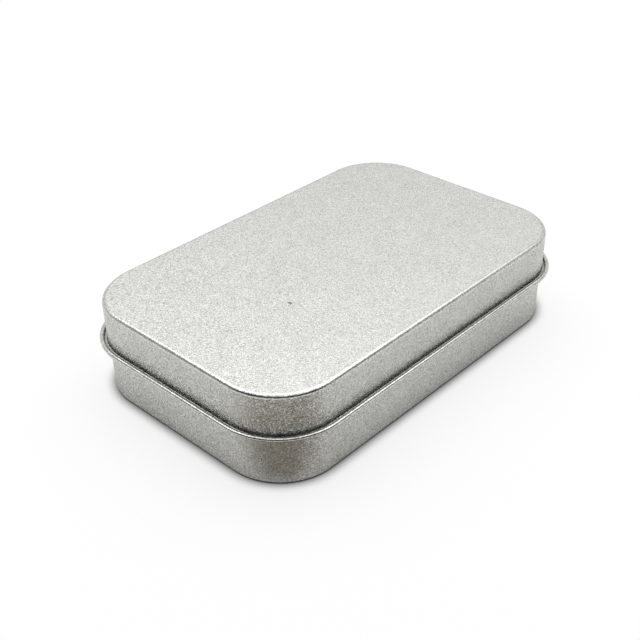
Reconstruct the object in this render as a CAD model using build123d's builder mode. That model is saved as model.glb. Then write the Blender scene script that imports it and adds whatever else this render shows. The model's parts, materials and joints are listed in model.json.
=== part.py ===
from build123d import *
from math import cos, degrees, radians, sin
import os

# Hinged pocket tin for mints, made of two shells drawn and rolled from thin tinplate.
# The closed tin stands on the plane Z = 0 with its length along X. The long front side faces -Y and
# the hinge runs along the back, at +Y. The origin is the middle of the footprint.

os.makedirs("parts", exist_ok=True)

# Closed tin, measured on the outer face of the lid's skirt
skirt_length = 93.0
skirt_width = 59.0
corner_radius = 13.4
tin_height = 21.0
sheet = 0.25

# Lid: inside radius of the pressed top edge, then the rolled edge round the open side
lid_bend_radius = 0.55
curl_height = 11.9
curl_inside_radius = 0.25
curl_gutter = 0.57
curl_roll_angle = 270
flange_bend_radius = 0.25

# Base: inside radius at the foot, gap under the skirt, and the rolled rim
foot_bend_radius = 0.35
wall_gap = 0.12
rim_inside_radius = 0.35
rim_roll_angle = 270
rim_rest_gap = 0.05
shoulder_rise = 1.0
swing_clearance = 0.2

# Hinge: lugs of the lid rolled round bars that are pressed out of the back wall
hinge_spacing = 46.0
lug_width = 7.0
lug_drop = 1.2
lug_roll_angle = 270
bar_inside_radius = 0.25
bar_flat = 0.15
bar_root = 0.8
hinge_play = 0.1
window_clearance = 0.15
window_side_gap = 0.5
notch_side_gap = 0.7
opening_angle = 105

# Turn from one flat of a bend to the next, in degrees
bend_step = 30

# Flat band of the panels that belongs to the rolled section, and a length for cuts to run past
panel_band = 1.0
overrun = 2.0

# Lid heights and offsets, outward from the skirt's outer face
half_sheet = sheet / 2
back = skirt_width / 2
lid_edge_radius = lid_bend_radius + sheet
curl_radius = curl_inside_radius + sheet
curl_offset = curl_gutter + curl_radius
flange_bottom = curl_height - curl_radius

# Hinge axis, inward from the skirt's outer face, and the radii that turn about it
bar_radius = bar_inside_radius + sheet
lug_inside_radius = bar_radius + hinge_play
lug_radius = lug_inside_radius + sheet
hinge_height = flange_bottom - lug_drop
hinge_y = back - lug_radius

# Base insets from the skirt's outer face. The neck clears the lid's front as it swings up
wall_inset = sheet + wall_gap
rim_radius = rim_inside_radius + sheet
rim_top = tin_height - sheet - rim_rest_gap
rim_centre = rim_top - rim_radius
rim_above_hinge = rim_centre - hinge_height
curl_above_hinge = curl_height - hinge_height
swing_reach = skirt_width - lug_radius - sheet
swing_in = (rim_above_hinge**2 - curl_above_hinge**2) / (2 * swing_reach)
neck_inset = sheet + swing_in + swing_clearance
foot_radius = foot_bend_radius + sheet
shoulder_bottom = hinge_height + bar_radius + bar_flat
shoulder_step = neck_inset - wall_inset

# Window in the back wall, as far up and down as the turning lug reaches
open_turn = radians(opening_angle)
wall_past_hinge = lug_radius - wall_inset
lug_reach_open = (lug_radius - wall_past_hinge * cos(open_turn)) / sin(open_turn)
window_bottom = hinge_height - lug_reach_open - window_clearance
window_top = hinge_height + lug_radius + window_clearance
window_width = lug_width + 2 * window_side_gap

# Vertical plane through the middle of the front side: X outward from the skirt, Y up
section_plane = Plane(origin=(0, -back, 0), x_dir=(0, -1, 0), z_dir=(-1, 0, 0))


def skirt_outline():
    """Closed outline of the skirt's outer face, from the middle of the front side and back."""
    right = skirt_length / 2
    FilletPolyline((0, -back), (right, -back), (right, back), (0, back), radius=corner_radius)
    mirror(about=Plane.YZ)


def draw_in_flats(mid_line):
    """The sheet's mid-line, with its small bends as short flats that stay true to about 0.02 mm."""
    for edge in mid_line.edges():
        turn = degrees(edge.length / edge.radius) if edge.geom_type == GeomType.CIRCLE else 0
        flats = max(1, round(turn / bend_step))
        Polyline(*[edge @ (step / flats) for step in range(flats + 1)])


def panel_outline(inset):
    """Rounded rectangle that lies inside the skirt's outline by the inset."""
    return RectangleRounded(skirt_length - 2 * inset, skirt_width - 2 * inset, corner_radius - inset)


# Lid
# One strip of sheet is bent over the top edge, down the skirt, out and up into a hollow roll
lid_panel_inset = lid_edge_radius + panel_band

with BuildLine() as lid_mid_line:
    FilletPolyline(
        (-lid_panel_inset, tin_height - half_sheet),
        (-half_sheet, tin_height - half_sheet),
        (-half_sheet, flange_bottom + half_sheet),
        (curl_offset, flange_bottom + half_sheet),
        radius=[lid_bend_radius + half_sheet, flange_bend_radius + half_sheet],
    )
    CenterArc((curl_offset, curl_height), curl_radius - half_sheet, -90, curl_roll_angle)

with BuildPart() as lid:
    with BuildLine():
        skirt_outline()
    with BuildSketch(section_plane):
        with BuildLine():
            draw_in_flats(lid_mid_line)
        trace(line_width=sheet)
    sweep()
    with BuildSketch(Plane.XY.offset(tin_height - sheet)):
        panel_outline(lid_panel_inset)
    extrude(amount=sheet)

    for hinge_x in (-hinge_spacing / 2, hinge_spacing / 2):
        # The rolled edge stops short of the lug on both sides
        with BuildSketch(Plane.YZ.offset(hinge_x)):
            with BuildLine():
                Polyline(
                    (back - sheet - overrun, curl_height),
                    (back, curl_height),
                    (back, curl_height + curl_radius + overrun),
                    (back + curl_offset + overrun, curl_height + curl_radius + overrun),
                    (back + curl_offset + overrun, flange_bottom - overrun),
                    (back - sheet - overrun, flange_bottom - overrun),
                    close=True,
                )
            make_face()
        extrude(amount=lug_width / 2 + notch_side_gap, both=True, mode=Mode.SUBTRACT)
        # The lug hangs from the skirt and rolls inward round the bar
        with BuildSketch(Plane.YZ.offset(hinge_x)):
            with BuildLine():
                Line((back - half_sheet, curl_height), (back - half_sheet, hinge_height))
                CenterArc((hinge_y, hinge_height), lug_radius - half_sheet, 0, -lug_roll_angle)
            trace(line_width=sheet)
        extrude(amount=lug_width / 2, both=True)

lid.part.label = "lid"
export_step(lid.part, "parts/lid.step")

# Base
# The wall steps in under the lid to a neck, and the neck ends in a rim that is rolled inward
base_panel_inset = wall_inset + foot_radius + panel_band

with BuildLine() as base_mid_line:
    wall = FilletPolyline(
        (-base_panel_inset, half_sheet),
        (-wall_inset - half_sheet, half_sheet),
        (-wall_inset - half_sheet, shoulder_bottom),
        radius=foot_bend_radius + half_sheet,
    )
    shoulder_middle = wall @ 1 + Vector(-shoulder_step, shoulder_rise) / 2
    shoulder_end = wall @ 1 + Vector(-shoulder_step, shoulder_rise)
    lower_bend = TangentArc(wall @ 1, shoulder_middle, tangent=wall % 1)
    upper_bend = TangentArc(shoulder_middle, shoulder_end, tangent=lower_bend % 1)
    Line(shoulder_end, (-neck_inset - half_sheet, rim_centre))
    CenterArc((-neck_inset - rim_radius, rim_centre), rim_radius - half_sheet, 0, rim_roll_angle)

with BuildPart() as base:
    with BuildLine():
        skirt_outline()
    with BuildSketch(section_plane):
        with BuildLine():
            draw_in_flats(base_mid_line)
        trace(line_width=sheet)
    sweep()
    with BuildSketch():
        panel_outline(base_panel_inset)
    extrude(amount=sheet)

    for hinge_x in (-hinge_spacing / 2, hinge_spacing / 2):
        # A window lets the lug through, above and below the bar
        with BuildSketch(Plane.YZ.offset(hinge_x)):
            with Locations((back + overrun, window_bottom)):
                Rectangle(
                    neck_inset + sheet + 2 * overrun,
                    window_top - window_bottom,
                    align=(Align.MAX, Align.MIN),
                )
        extrude(amount=window_width / 2, both=True, mode=Mode.SUBTRACT)
        # The bar is a half round strip of the wall that bridges the window
        with BuildSketch(Plane.YZ.offset(hinge_x)):
            with Locations((hinge_y, hinge_height)):
                Circle(bar_radius)
                Circle(bar_inside_radius, mode=Mode.SUBTRACT)
                Rectangle(bar_radius, 2 * bar_radius, align=(Align.MAX, Align.CENTER), mode=Mode.SUBTRACT)
        extrude(amount=window_width / 2 + bar_root, both=True)

base.part.label = "base"
export_step(base.part, "parts/base.step")
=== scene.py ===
import json
from math import atan2, cos, degrees, pi, radians, sin

import bmesh
import bpy
from mathutils import Matrix, Vector


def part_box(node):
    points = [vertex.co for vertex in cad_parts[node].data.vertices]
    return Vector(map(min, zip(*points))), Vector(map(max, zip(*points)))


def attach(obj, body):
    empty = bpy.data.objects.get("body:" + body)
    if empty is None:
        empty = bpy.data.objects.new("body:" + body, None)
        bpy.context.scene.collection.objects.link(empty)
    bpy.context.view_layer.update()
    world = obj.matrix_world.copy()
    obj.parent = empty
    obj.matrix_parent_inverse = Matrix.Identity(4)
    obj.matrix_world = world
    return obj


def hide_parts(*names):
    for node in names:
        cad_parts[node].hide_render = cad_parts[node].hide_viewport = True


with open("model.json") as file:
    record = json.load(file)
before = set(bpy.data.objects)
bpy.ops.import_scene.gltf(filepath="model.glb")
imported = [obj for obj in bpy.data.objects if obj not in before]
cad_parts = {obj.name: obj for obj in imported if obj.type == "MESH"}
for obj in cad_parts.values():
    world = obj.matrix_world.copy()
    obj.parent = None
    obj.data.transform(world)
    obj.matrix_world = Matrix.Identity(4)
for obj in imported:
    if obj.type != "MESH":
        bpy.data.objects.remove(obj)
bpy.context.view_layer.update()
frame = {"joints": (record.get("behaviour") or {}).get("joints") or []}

# Pocket tin of satin tinplate in two drawn shells. Lengths are in metres and the tin stands on Z = 0,
# with its long front side towards -Y and its hinge along the back.
mm = 0.001

# Sheet and the overall tin, with its outer sizes and hinge axis from the frame
sheet = 0.25 * mm
half_sheet = sheet / 2
corner_radius = 13.4 * mm
curl_gutter = 0.57 * mm
curl_radius = 0.5 * mm
curl_reach = curl_gutter + 2 * curl_radius
lid_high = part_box("lid")[1]
base_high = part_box("base")[1]
side = lid_high.x - curl_reach
back = lid_high.y - curl_reach
tin_height = lid_high.z
hinge_y, hinge_height = frame["joints"][0]["pos_m"][1:]

# Lid: pressed top edge, and the open side turned out into a hollow roll
lid_edge_radius = 0.8 * mm
curl_height = 11.9 * mm
curl_offset = curl_gutter + curl_radius
flange_inside_radius = 0.25 * mm
flange_bend = flange_inside_radius + half_sheet
flange_middle = curl_height - curl_radius + half_sheet

# Hinge: lugs of the lid rolled round bars of the base's back wall
hinge_spacing = 46.0 * mm
lug_width = 7.0 * mm
lug_radius = back - hinge_y
bar_radius = 0.5 * mm
bar_flat = 0.15 * mm
bar_root = 0.8 * mm
notch_side_gap = 0.7 * mm
window_side_gap = 0.5 * mm
window_clearance = 0.15 * mm
notch_width = lug_width + 2 * notch_side_gap
window_width = lug_width + 2 * window_side_gap

# Base: foot, shoulder and rolled rim, inward from the skirt's outer face
wall_inset = back - base_high.y
foot_radius = 0.6 * mm
rim_radius = 0.6 * mm
rim_centre = base_high.z - rim_radius
shoulder_bottom = hinge_height + bar_radius + bar_flat
shoulder_rise = 1.0 * mm

# The neck clears the lid's front as it swings up, and the window clears the lug of the open lid
swing_clearance = 0.2 * mm
swing_reach = 2 * back - lug_radius - sheet
swing_in = ((rim_centre - hinge_height) ** 2 - (curl_height - hinge_height) ** 2) / (2 * swing_reach)
neck_inset = sheet + swing_in + swing_clearance
open_turn = radians(105)
lug_reach_open = (lug_radius - (lug_radius - wall_inset) * cos(open_turn)) / sin(open_turn)
window_bottom = hinge_height - lug_reach_open - window_clearance
window_top = hinge_height + lug_radius + window_clearance

# Fineness of the meshes: steps in a quarter turn, the short flat beside each bend, the flat band of a
# panel that belongs to the rolled section, and the least distance between two points
corner_steps = 28
bend_steps = 8
beside_bend = 0.25 * mm
panel_band = 1.0 * mm
least_distance = 0.001 * mm
sharp_angle = radians(40)

# Camera, fitted to the photograph's frame of 640 by 640 pixels
camera_azimuth = radians(-46.43)
camera_elevation = radians(33.50)
camera_roll = radians(-1.06)
camera_distance = 222.8 * mm
camera_target = Vector((0, 0, 9.9 * mm))
camera_right = -3.34 * mm
camera_up = -4.30 * mm
camera_lens = 56.55
camera_sensor = 36.0
camera_clip = 10 * mm


def sweep_turn(centre, radius, start, turn):
    """Points of a bend round its centre, from an angle in degrees and through a turn."""
    steps = max(1, round(abs(turn) / 90 * bend_steps))
    angles = [radians(start + turn * step / steps) for step in range(steps + 1)]
    return [(centre[0] + radius * cos(angle), centre[1] + radius * sin(angle)) for angle in angles]


def skirt_stations():
    """Points round the skirt's outer face, each with its outward direction."""
    straight = (side - corner_radius, back - corner_radius)
    hinge_edges = sorted(
        centre + way * width / 2
        for centre in (-hinge_spacing / 2, hinge_spacing / 2)
        for width in (lug_width, window_width, notch_width)
        for way in (-1, 1)
    )
    stations = []
    for quarter, (way_x, way_y) in enumerate(((1, 1), (-1, 1), (-1, -1), (1, -1))):
        corner = Vector((way_x * straight[0], way_y * straight[1], 0))
        for step in range(corner_steps + 1):
            angle = pi / 2 * (quarter + step / corner_steps)
            outward = Vector((cos(angle), sin(angle), 0))
            stations.append((corner + corner_radius * outward, outward))
        # The straight side after the corner. The first one is the back, which has the hinge
        along = Vector((-outward.y, outward.x, 0))
        corner_end = stations[-1][0]
        middle = corner_end - along * along.dot(corner_end)
        run = straight[quarter % 2] - beside_bend
        places = [-run, *hinge_edges, run] if quarter == 0 else [-run, run]
        stations += [(middle + along * place, outward) for place in places]
    return stations


def add_band(shell, section, gap_width=0):
    """A band of sheet round the tin along a section, open at the hinge over the width of a gap."""
    stations = skirt_stations()
    for (point, outward), (next_point, next_outward) in zip(stations, stations[1:] + stations[:1]):
        middle = (point + next_point) / 2
        if middle.y > back - sheet and abs(abs(middle.x) - hinge_spacing / 2) < gap_width / 2:
            continue
        here = [shell.verts.new(point + offset * outward + Vector((0, 0, z))) for offset, z in section]
        there = [shell.verts.new(next_point + offset * next_outward + Vector((0, 0, z)))
                 for offset, z in section]
        for low, high, next_low, next_high in zip(here, here[1:], there, there[1:]):
            shell.faces.new((low, high, next_high, next_low))


def add_panel(shell, inset, height):
    """The flat panel inside a band of sheet."""
    shell.faces.new([shell.verts.new(point - inset * outward + Vector((0, 0, height)))
                     for point, outward in skirt_stations()])


def add_strip(shell, centre_x, width, section):
    """A straight strip of sheet across the hinge, along a section of Y and Z."""
    left = [shell.verts.new((centre_x - width / 2, y, z)) for y, z in section]
    right = [shell.verts.new((centre_x + width / 2, y, z)) for y, z in section]
    for low, high, next_low, next_high in zip(left, left[1:], right, right[1:]):
        shell.faces.new((low, high, next_high, next_low))


def reach_from_skirt(place):
    """How far a point lies outside the skirt's outer face, less than nothing inside it."""
    past_x = abs(place.x) - side + corner_radius
    past_y = abs(place.y) - back + corner_radius
    corner = Vector((max(past_x, 0), max(past_y, 0))).length
    return corner + min(max(past_x, past_y), 0) - corner_radius


def burnish_edges(mesh):
    """Marks the bends that the tools have rubbed smoother than the sheet between them: the rolled edge
    most, then the top edge."""
    top_edge_burnish = 0.8
    marks = mesh.attributes.new("burnish", "FLOAT", "POINT")
    for vertex, mark in zip(mesh.vertices, marks.data):
        reach = reach_from_skirt(vertex.co)
        on_curl = reach > curl_gutter / 2
        on_top_edge = vertex.co.z > tin_height - lid_edge_radius and reach > -lid_edge_radius
        mark.value = 1 if on_curl else top_edge_burnish if on_top_edge else 0


def finish_shell(shell, body, material):
    """Gives the drawn surface the sheet's thickness and puts it on its body, for the node of that name."""
    name = body + "_shell"
    bmesh.ops.remove_doubles(shell, verts=shell.verts, dist=least_distance)
    bmesh.ops.recalc_face_normals(shell, faces=shell.faces)
    mesh = bpy.data.meshes.new(name)
    shell.to_mesh(mesh)
    shell.free()
    piece = bpy.data.objects.new(name, mesh)
    bpy.context.scene.collection.objects.link(piece)
    solid = piece.modifiers.new("sheet", "SOLIDIFY")
    solid.thickness = sheet
    solid.offset = 0
    solid.use_even_offset = True
    bpy.context.view_layer.update()
    thick = bpy.data.meshes.new_from_object(piece.evaluated_get(bpy.context.evaluated_depsgraph_get()))
    piece.modifiers.clear()
    piece.data = thick
    thick.name = name
    burnish_edges(thick)
    thick.shade_smooth()
    thick.set_sharp_from_angle(angle=sharp_angle)
    weighted = piece.modifiers.new("even shading", "WEIGHTED_NORMAL")
    weighted.keep_sharp = True
    thick.materials.clear()
    thick.materials.append(material)
    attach(piece, body)
    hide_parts(body)


def lid_shell(material):
    """The lid: top panel, skirt and rolled edge, with two lugs that roll round the bars."""
    shell = bmesh.new()
    top = tin_height - half_sheet
    panel_inset = lid_edge_radius + panel_band
    upper = [(-panel_inset, top), (-lid_edge_radius - beside_bend, top)]
    upper += sweep_turn((-lid_edge_radius, tin_height - lid_edge_radius), lid_edge_radius - half_sheet,
                        90, -90)
    upper += [(-half_sheet, tin_height - lid_edge_radius - beside_bend),
              (-half_sheet, curl_height + beside_bend), (-half_sheet, curl_height)]
    lower = [(-half_sheet, curl_height)]
    lower += sweep_turn((flange_bend - half_sheet, flange_middle + flange_bend), flange_bend, 180, 90)
    lower += sweep_turn((curl_offset, curl_height), curl_radius - half_sheet, -90, 270)
    add_panel(shell, panel_inset, top)
    add_band(shell, upper)
    add_band(shell, lower, notch_width)
    lug = [(back - half_sheet, curl_height)]
    lug += sweep_turn((hinge_y, hinge_height), lug_radius - half_sheet, 0, -270)
    for centre_x in (-hinge_spacing / 2, hinge_spacing / 2):
        add_strip(shell, centre_x, lug_width, lug)
    finish_shell(shell, "lid", material)


def base_shell(material):
    """The base: floor, wall, stepped neck and rolled rim, with two windows bridged by bars."""
    shell = bmesh.new()
    wall = -wall_inset - half_sheet
    neck = -neck_inset - half_sheet
    panel_inset = wall_inset + foot_radius + panel_band
    lower = [(-panel_inset, half_sheet), (-wall_inset - foot_radius - beside_bend, half_sheet)]
    lower += sweep_turn((-wall_inset - foot_radius, foot_radius), foot_radius - half_sheet, -90, 90)
    lower += [(wall, foot_radius + beside_bend), (wall, window_bottom)]

    # The shoulder is a double bend, and the window's top edge lies on its next row of points
    shoulder_top = shoulder_bottom + shoulder_rise
    shoulder_turn = 2 * degrees(atan2(wall - neck, shoulder_rise))
    shoulder_radius = shoulder_rise / 2 / sin(radians(shoulder_turn))
    step_out = sweep_turn((wall - shoulder_radius, shoulder_bottom), shoulder_radius, 0, shoulder_turn)
    step_in = sweep_turn((neck + shoulder_radius, shoulder_top), shoulder_radius,
                         180 + shoulder_turn, -shoulder_turn)
    shoulder = step_out + step_in[1:]
    top_edge = next(z for inset, z in shoulder if z > window_top)
    beside_window = [(inset, z) for inset, z in shoulder if z <= top_edge]
    past_window = [(inset, z) for inset, z in shoulder if z >= top_edge]

    upper = past_window + [(neck, shoulder_top + beside_bend), (neck, rim_centre - beside_bend)]
    upper += sweep_turn((-neck_inset - rim_radius, rim_centre), rim_radius - half_sheet, 0, 270)
    add_panel(shell, panel_inset, half_sheet)
    add_band(shell, lower)
    add_band(shell, [(wall, window_bottom)] + beside_window, window_width)
    add_band(shell, upper)
    bar = sweep_turn((hinge_y, hinge_height), bar_radius - half_sheet, -90, 180)
    for centre_x in (-hinge_spacing / 2, hinge_spacing / 2):
        add_strip(shell, centre_x, window_width + 2 * bar_root, bar)
    finish_shell(shell, "base", material)


def linear(hex_colour):
    """A colour written as sRGB hex, as the linear values that a shader takes."""
    channels = [int(hex_colour[place:place + 2], 16) / 255 for place in (1, 3, 5)]
    return [c / 12.92 if c <= 0.04045 else ((c + 0.055) / 1.055) ** 2.4 for c in channels] + [1]


def add_node(tree, kind, settings=None, sockets=None):
    """Adds a node with its settings, and sets or links its sockets."""
    node = tree.nodes.new(kind)
    for name, value in (settings or {}).items():
        setattr(node, name, value)
    for name, value in (sockets or {}).items():
        if isinstance(value, bpy.types.NodeSocket):
            tree.links.new(value, node.inputs[name])
        else:
            node.inputs[name].default_value = value
    return node


def new_material(name):
    """An empty node material."""
    material = bpy.data.materials.new(name)
    material.use_nodes = True
    material.node_tree.nodes.clear()
    return material


def frosted_tinplate():
    """Mild steel sheet with a matt tin coat, frosted by fine crystals that each tilt a little, so that
    the metal looks salted and every reflection spreads. Rubbed bends are smoother and shine more."""
    # Real crystals of such a coat are a few hundredths of a millimetre wide. They are drawn coarser,
    # at about a pixel of the photograph, so that the grain shows
    crystal_width = 0.18 * mm
    cloud_width = 4.0 * mm
    ripple_width = 16 * mm
    ripple_depth = 0.08 * mm
    gutter_depth = 0.9 * mm
    material = new_material("frosted tinplate")
    tree = material.node_tree
    place = add_node(tree, "ShaderNodeTexCoord").outputs["Object"]
    crystals = add_node(tree, "ShaderNodeTexVoronoi", {}, {"Vector": place, "Scale": 1 / crystal_width})
    clouds = add_node(tree, "ShaderNodeTexNoise", {}, {
        "Vector": place, "Scale": 1 / cloud_width, "Detail": 3.0})
    ripple = add_node(tree, "ShaderNodeTexNoise", {}, {
        "Vector": place, "Scale": 1 / ripple_width, "Detail": 1.0})
    burnish = add_node(tree, "ShaderNodeAttribute", {"attribute_name": "burnish"}).outputs["Fac"]
    shade = add_node(tree, "ShaderNodeSeparateColor", {}, {"Color": crystals.outputs["Color"]})

    # Each crystal has its own grey, under a faint cloud of tin
    grain = add_node(tree, "ShaderNodeMix", {}, {
        "Factor": 0.15, "A": shade.outputs["Red"], "B": clouds.outputs["Fac"]})
    tone = add_node(tree, "ShaderNodeValToRGB", {}, {"Fac": grain.outputs["Result"]})
    tone.color_ramp.elements[0].position = 0.1
    tone.color_ramp.elements[0].color = linear("#A2A29E")
    tone.color_ramp.elements[1].position = 0.9
    tone.color_ramp.elements[1].color = linear("#E6E7E3")

    # Painted shade: an ambient-occlusion mask darkens the colour in the rolled edge's narrow gutter and other
    # tight hollows, and paints a contact shadow on the foot where it meets the table
    shelter = add_node(tree, "ShaderNodeAmbientOcclusion", {"samples": 8}, {"Distance": gutter_depth})
    painted_shade = add_node(tree, "ShaderNodeMapRange", {}, {
        "Value": shelter.outputs["AO"], "From Min": 0.25, "From Max": 0.7, "To Min": 0.9, "To Max": 0.0})
    shade_painted_tone = add_node(tree, "ShaderNodeMixRGB", {}, {
        "Fac": painted_shade.outputs["Result"], "Color1": tone.outputs["Color"], "Color2": linear("#25231F")})

    # One small bruise in the tin on the lid's top. Noise pushes its edge about and makes it ragged
    bruise_centre = Vector((-19.5 * mm, -5.8 * mm, tin_height))
    bruise_radius = 0.62 * mm
    bruise_fray = Vector((1.4 * mm, 1.4 * mm, 0))
    ragged = add_node(tree, "ShaderNodeTexNoise", {}, {
        "Vector": place, "Scale": 1 / bruise_radius, "Detail": 2.0})
    frayed = add_node(tree, "ShaderNodeVectorMath", {"operation": "MULTIPLY_ADD"}, {
        0: ragged.outputs["Color"], 1: bruise_fray, 2: place})
    apart = add_node(tree, "ShaderNodeVectorMath", {"operation": "DISTANCE"}, {
        0: frayed.outputs["Vector"], 1: bruise_centre + bruise_fray / 2})
    bruise = add_node(tree, "ShaderNodeMapRange", {}, {
        "Value": apart.outputs["Value"], "From Min": 0.6 * bruise_radius, "From Max": 1.1 * bruise_radius,
        "To Min": 0.9, "To Max": 0.0})
    coat = add_node(tree, "ShaderNodeMixRGB", {}, {
        "Fac": bruise.outputs["Result"], "Color1": shade_painted_tone.outputs["Color"], "Color2": linear("#6E6F71")})

    # The crystals' tilt, less on rubbed bends, and the slight waves of a drawn panel
    tilt = add_node(tree, "ShaderNodeVectorMath", {"operation": "SUBTRACT"}, {
        0: crystals.outputs["Color"], 1: (0.5, 0.5, 0.5)})
    tilt_size = add_node(tree, "ShaderNodeMapRange", {}, {"Value": burnish, "To Min": 0.38, "To Max": 0.04})
    tilted = add_node(tree, "ShaderNodeVectorMath", {"operation": "SCALE"}, {
        0: tilt.outputs["Vector"], "Scale": tilt_size.outputs["Result"]})
    waves = add_node(tree, "ShaderNodeBump", {}, {
        "Height": ripple.outputs["Fac"], "Strength": 1.0, "Distance": ripple_depth})
    lean = add_node(tree, "ShaderNodeVectorMath", {"operation": "ADD"}, {
        0: tilted.outputs["Vector"], 1: waves.outputs["Normal"]})
    facing = add_node(tree, "ShaderNodeVectorMath", {"operation": "NORMALIZE"}, {0: lean.outputs["Vector"]})
    gloss = add_node(tree, "ShaderNodeMapRange", {}, {"Value": burnish, "To Min": 0.42, "To Max": 0.24})
    metal = add_node(tree, "ShaderNodeBsdfPrincipled", {}, {
        "Base Color": coat.outputs["Color"], "Metallic": 1.0, "Roughness": gloss.outputs["Result"],
        "Normal": facing.outputs["Vector"]})
    add_node(tree, "ShaderNodeOutputMaterial", {}, {"Surface": metal.outputs["BSDF"]})
    return material


def place_camera():
    """The camera at the photograph's angle, rolled a little and slid across its view."""
    away = Vector((sin(camera_azimuth) * cos(camera_elevation),
                   -cos(camera_azimuth) * cos(camera_elevation), sin(camera_elevation)))
    level = Vector((cos(camera_azimuth), sin(camera_azimuth), 0))
    rise = away.cross(level)
    right = cos(camera_roll) * level + sin(camera_roll) * rise
    up = cos(camera_roll) * rise - sin(camera_roll) * level
    camera = bpy.data.objects.new("camera", bpy.data.cameras.new("camera"))
    bpy.context.scene.collection.objects.link(camera)
    place = camera_target + camera_distance * away + camera_right * right + camera_up * up
    camera.matrix_world = Matrix((
        (right.x, up.x, away.x, place.x),
        (right.y, up.y, away.y, place.y),
        (right.z, up.z, away.z, place.z),
        (0, 0, 0, 1),
    ))
    camera.data.lens = camera_lens
    camera.data.sensor_width = camera_sensor
    camera.data.clip_start = camera_clip
    bpy.context.scene.camera = camera


def seen_directly(tree):
    """One for the rays that the background is seen by, which are camera, glossy and transmission rays."""
    rays = add_node(tree, "ShaderNodeLightPath").outputs
    seen = add_node(tree, "ShaderNodeMath", {"operation": "MAXIMUM"}, {
        0: rays["Is Camera Ray"], 1: rays["Is Glossy Ray"]})
    return add_node(tree, "ShaderNodeMath", {"operation": "MAXIMUM"}, {
        0: seen.outputs[0], 1: rays["Is Transmission Ray"]}).outputs[0]


def white_paper():
    """Matt white paper. Most of its white is a glow that camera, glossy and transmission rays see as it is,
    and an ambient-occlusion mask dims that glow next to the tin into a painted contact shadow.
    """
    contact_reach = 3.0 * mm
    material = new_material("white paper")
    tree = material.node_tree
    # Painted contact shadow: ambient occlusion within the reach dims the glow where the tin stands close
    contact_shadow_mask = add_node(tree, "ShaderNodeAmbientOcclusion", {"samples": 16}, {"Distance": contact_reach})
    shade = add_node(tree, "ShaderNodeMapRange", {"interpolation_type": "SMOOTHSTEP"}, {
        "Value": contact_shadow_mask.outputs["AO"], "From Min": 0.3, "From Max": 1.0})
    glow_with_painted_shadow = add_node(tree, "ShaderNodeMath", {"operation": "MULTIPLY"}, {
        0: seen_directly(tree), 1: shade.outputs["Result"]})
    paper = add_node(tree, "ShaderNodeBsdfDiffuse", {}, {"Color": linear("#7E7E7E")})
    glow = add_node(tree, "ShaderNodeEmission", {}, {"Color": linear("#E4E4E4"), "Strength": glow_with_painted_shadow.outputs[0]})
    both = add_node(tree, "ShaderNodeAddShader", {}, {0: paper.outputs[0], 1: glow.outputs[0]})
    add_node(tree, "ShaderNodeOutputMaterial", {}, {"Surface": both.outputs[0]})
    return material


def lay_floor():
    """The sheet of paper that the tin stands on."""
    reach = 4.0
    mesh = bpy.data.meshes.new("floor")
    mesh.from_pydata([(-reach, -reach, 0), (reach, -reach, 0), (reach, reach, 0), (-reach, reach, 0)],
                     [], [(0, 1, 2, 3)])
    mesh.materials.append(white_paper())
    floor = bpy.data.objects.new("floor", mesh)
    bpy.context.scene.collection.objects.link(floor)


def painted_reflection_material(name, colour):
    """A dark sheet that only the metal sees, a painted reflection, let through where its cover is less than
    one.
    """
    material = new_material(name)
    tree = material.node_tree
    cover = add_node(tree, "ShaderNodeAttribute", {"attribute_name": "cover"}).outputs["Fac"]
    clear = add_node(tree, "ShaderNodeBsdfTransparent")
    reflection_sheet = add_node(tree, "ShaderNodeBsdfDiffuse", {}, {"Color": linear(colour)})
    mixed = add_node(tree, "ShaderNodeMixShader", {}, {0: cover, 1: clear.outputs[0], 2: reflection_sheet.outputs[0]})
    add_node(tree, "ShaderNodeOutputMaterial", {}, {"Surface": mixed.outputs[0]})
    return material


def smooth_step(low, high, value):
    """Nothing below the low value, one above the high one, and an easy curve between them."""
    share = min(max((value - low) / (high - low), 0), 1)
    return share * share * (3 - 2 * share)


def hang_reflection_sheet(name, columns, material):
    """A sheet through columns of points, each point with the cover it has there. It is hidden from camera,
    diffuse and shadow rays, so it shows only as a painted reflection in the metal.
    """
    points = [point for column in columns for point, cover in column]
    covers = [cover for column in columns for point, cover in column]
    rows = len(columns[0])
    faces = [(at, at + 1, at + rows + 1, at + rows)
             for at in range(len(points) - rows) if at % rows < rows - 1]
    mesh = bpy.data.meshes.new(name)
    mesh.from_pydata(points, [], faces)
    mesh.attributes.new("cover", "FLOAT", "POINT").data.foreach_set("value", covers)
    mesh.materials.append(material)
    reflection_sheet = bpy.data.objects.new(name, mesh)
    bpy.context.scene.collection.objects.link(reflection_sheet)
    reflection_sheet.visible_camera = False
    reflection_sheet.visible_diffuse = False
    reflection_sheet.visible_shadow = False


def hang_dark_reflection_ring(towards_camera):
    """A dark ring round the tin that only the metal sees, a painted dark reflection, full behind the camera
    and thin elsewhere, above a white strip.
    """
    ring_radius = 0.25
    ring_heights = (0.035, 0.27)
    thinnest = 0.2
    steps = 72
    columns = []
    for step in range(steps + 1):
        angle = 2 * pi * step / steps
        camera_share = (1 + cos(angle - towards_camera)) / 2
        cover = max(thinnest, smooth_step(0.1, 0.9, camera_share))
        columns.append([((ring_radius * cos(angle), ring_radius * sin(angle), z), cover)
                        for z in ring_heights])
    # Painted dark reflection, dark brown, seen by glossy rays only
    hang_reflection_sheet("dark_reflection_ring", columns, painted_reflection_material("painted dark reflection", "#382A1B"))


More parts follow.
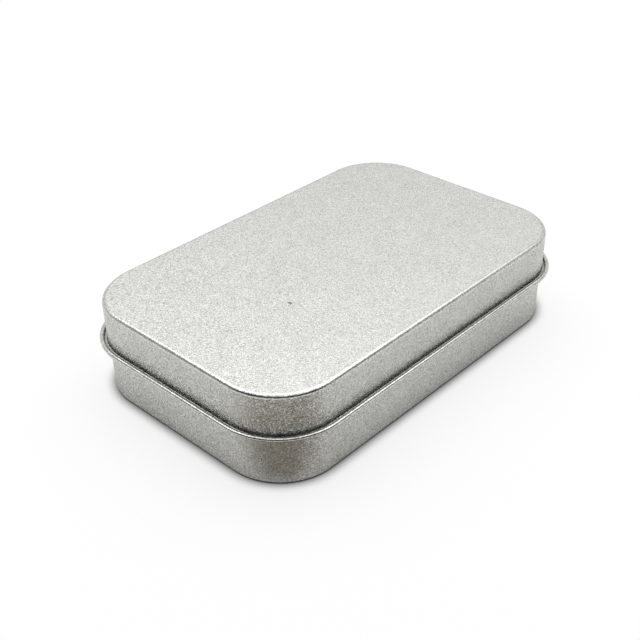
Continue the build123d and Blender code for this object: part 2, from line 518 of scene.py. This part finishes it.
def lay_shadow_reflection_sheet(towards_camera):
    """A brown sheet on the paper that only the metal sees, which paints the shadowed paper into its
    reflections: in a fan before the near corner and in a thin band along the foot, a painted reflection of
    the contact shadow.
    """
    spacing = 1 * mm
    grid_columns = 170
    grid_rows = 130
    grid_start = Vector((-100 * mm, -90 * mm, 0.05 * mm))
    fan_cover = 0.85
    fan_start = 2 * mm
    fan_end = (24 * mm, 46 * mm)
    fan_sides = (radians(55), radians(105))
    band_cover = 0.35
    band_start = 1 * mm
    band_end = (2 * mm, 9 * mm)
    view = Vector((cos(towards_camera), sin(towards_camera), 0))
    near_corner = Vector((-side, -back, 0)) + corner_radius * (Vector((1, 1, 0)) + view)
    columns = []
    for column in range(grid_columns):
        cells = []
        for row in range(grid_rows):
            place = grid_start + spacing * Vector((column, row, 0))
            reach = reach_from_skirt(place)
            aside = (place - near_corner).xy.angle(view.xy, 0)
            fan = smooth_step(0, fan_start, reach) * (1 - smooth_step(*fan_end, reach))
            fan *= 1 - smooth_step(*fan_sides, aside)
            band = smooth_step(0, band_start, reach) * (1 - smooth_step(*band_end, reach))
            cells.append((place, max(fan_cover * fan, band_cover * band)))
        columns.append(cells)
    # Painted shadow reflection, warm brown, seen by glossy rays only
    hang_reflection_sheet("shadow_reflection_sheet", columns, painted_reflection_material("painted shadow reflection", "#6B5A40"))


def hang_lamp(towards_camera):
    """One wide soft lamp above the tin and behind it."""
    lamp_width = 0.6
    lamp_length = 1.1
    lamp_height = 0.6
    lamp_behind = 0.255
    lamp_level = 1.65
    lamp = bpy.data.lights.new("soft lamp", "AREA")
    lamp.shape = "RECTANGLE"
    lamp.size = lamp_width
    lamp.size_y = lamp_length
    lamp.energy = lamp_level * pi * lamp_width * lamp_length
    above = bpy.data.objects.new("soft lamp", lamp)
    above.location = (-lamp_behind * cos(towards_camera), -lamp_behind * sin(towards_camera), lamp_height)
    above.rotation_euler = (0, 0, towards_camera)
    bpy.context.scene.collection.objects.link(above)


def light_studio():
    """White surround, a soft lamp, and on the camera's side sheets that only the metal sees, which paint dark
    reflections into the metal's sides.
    """
    world = bpy.data.worlds.new("studio")
    world.use_nodes = True
    bpy.context.scene.world = world
    tree = world.node_tree
    tree.nodes.clear()
    strength = add_node(tree, "ShaderNodeMapRange", {}, {
        "Value": seen_directly(tree), "To Min": 0.65, "To Max": 1.0})
    surround = add_node(tree, "ShaderNodeBackground", {}, {
        "Color": linear("#FFFFFF"), "Strength": strength.outputs[0]})
    add_node(tree, "ShaderNodeOutputWorld", {}, {"Surface": surround.outputs[0]})
    towards_camera = camera_azimuth - pi / 2
    hang_lamp(towards_camera)
    hang_dark_reflection_ring(towards_camera)
    lay_shadow_reflection_sheet(towards_camera)
    lay_floor()


tinplate = frosted_tinplate()
lid_shell(tinplate)
base_shell(tinplate)
place_camera()
light_studio()

bpy.context.scene.view_settings.view_transform = "Standard"
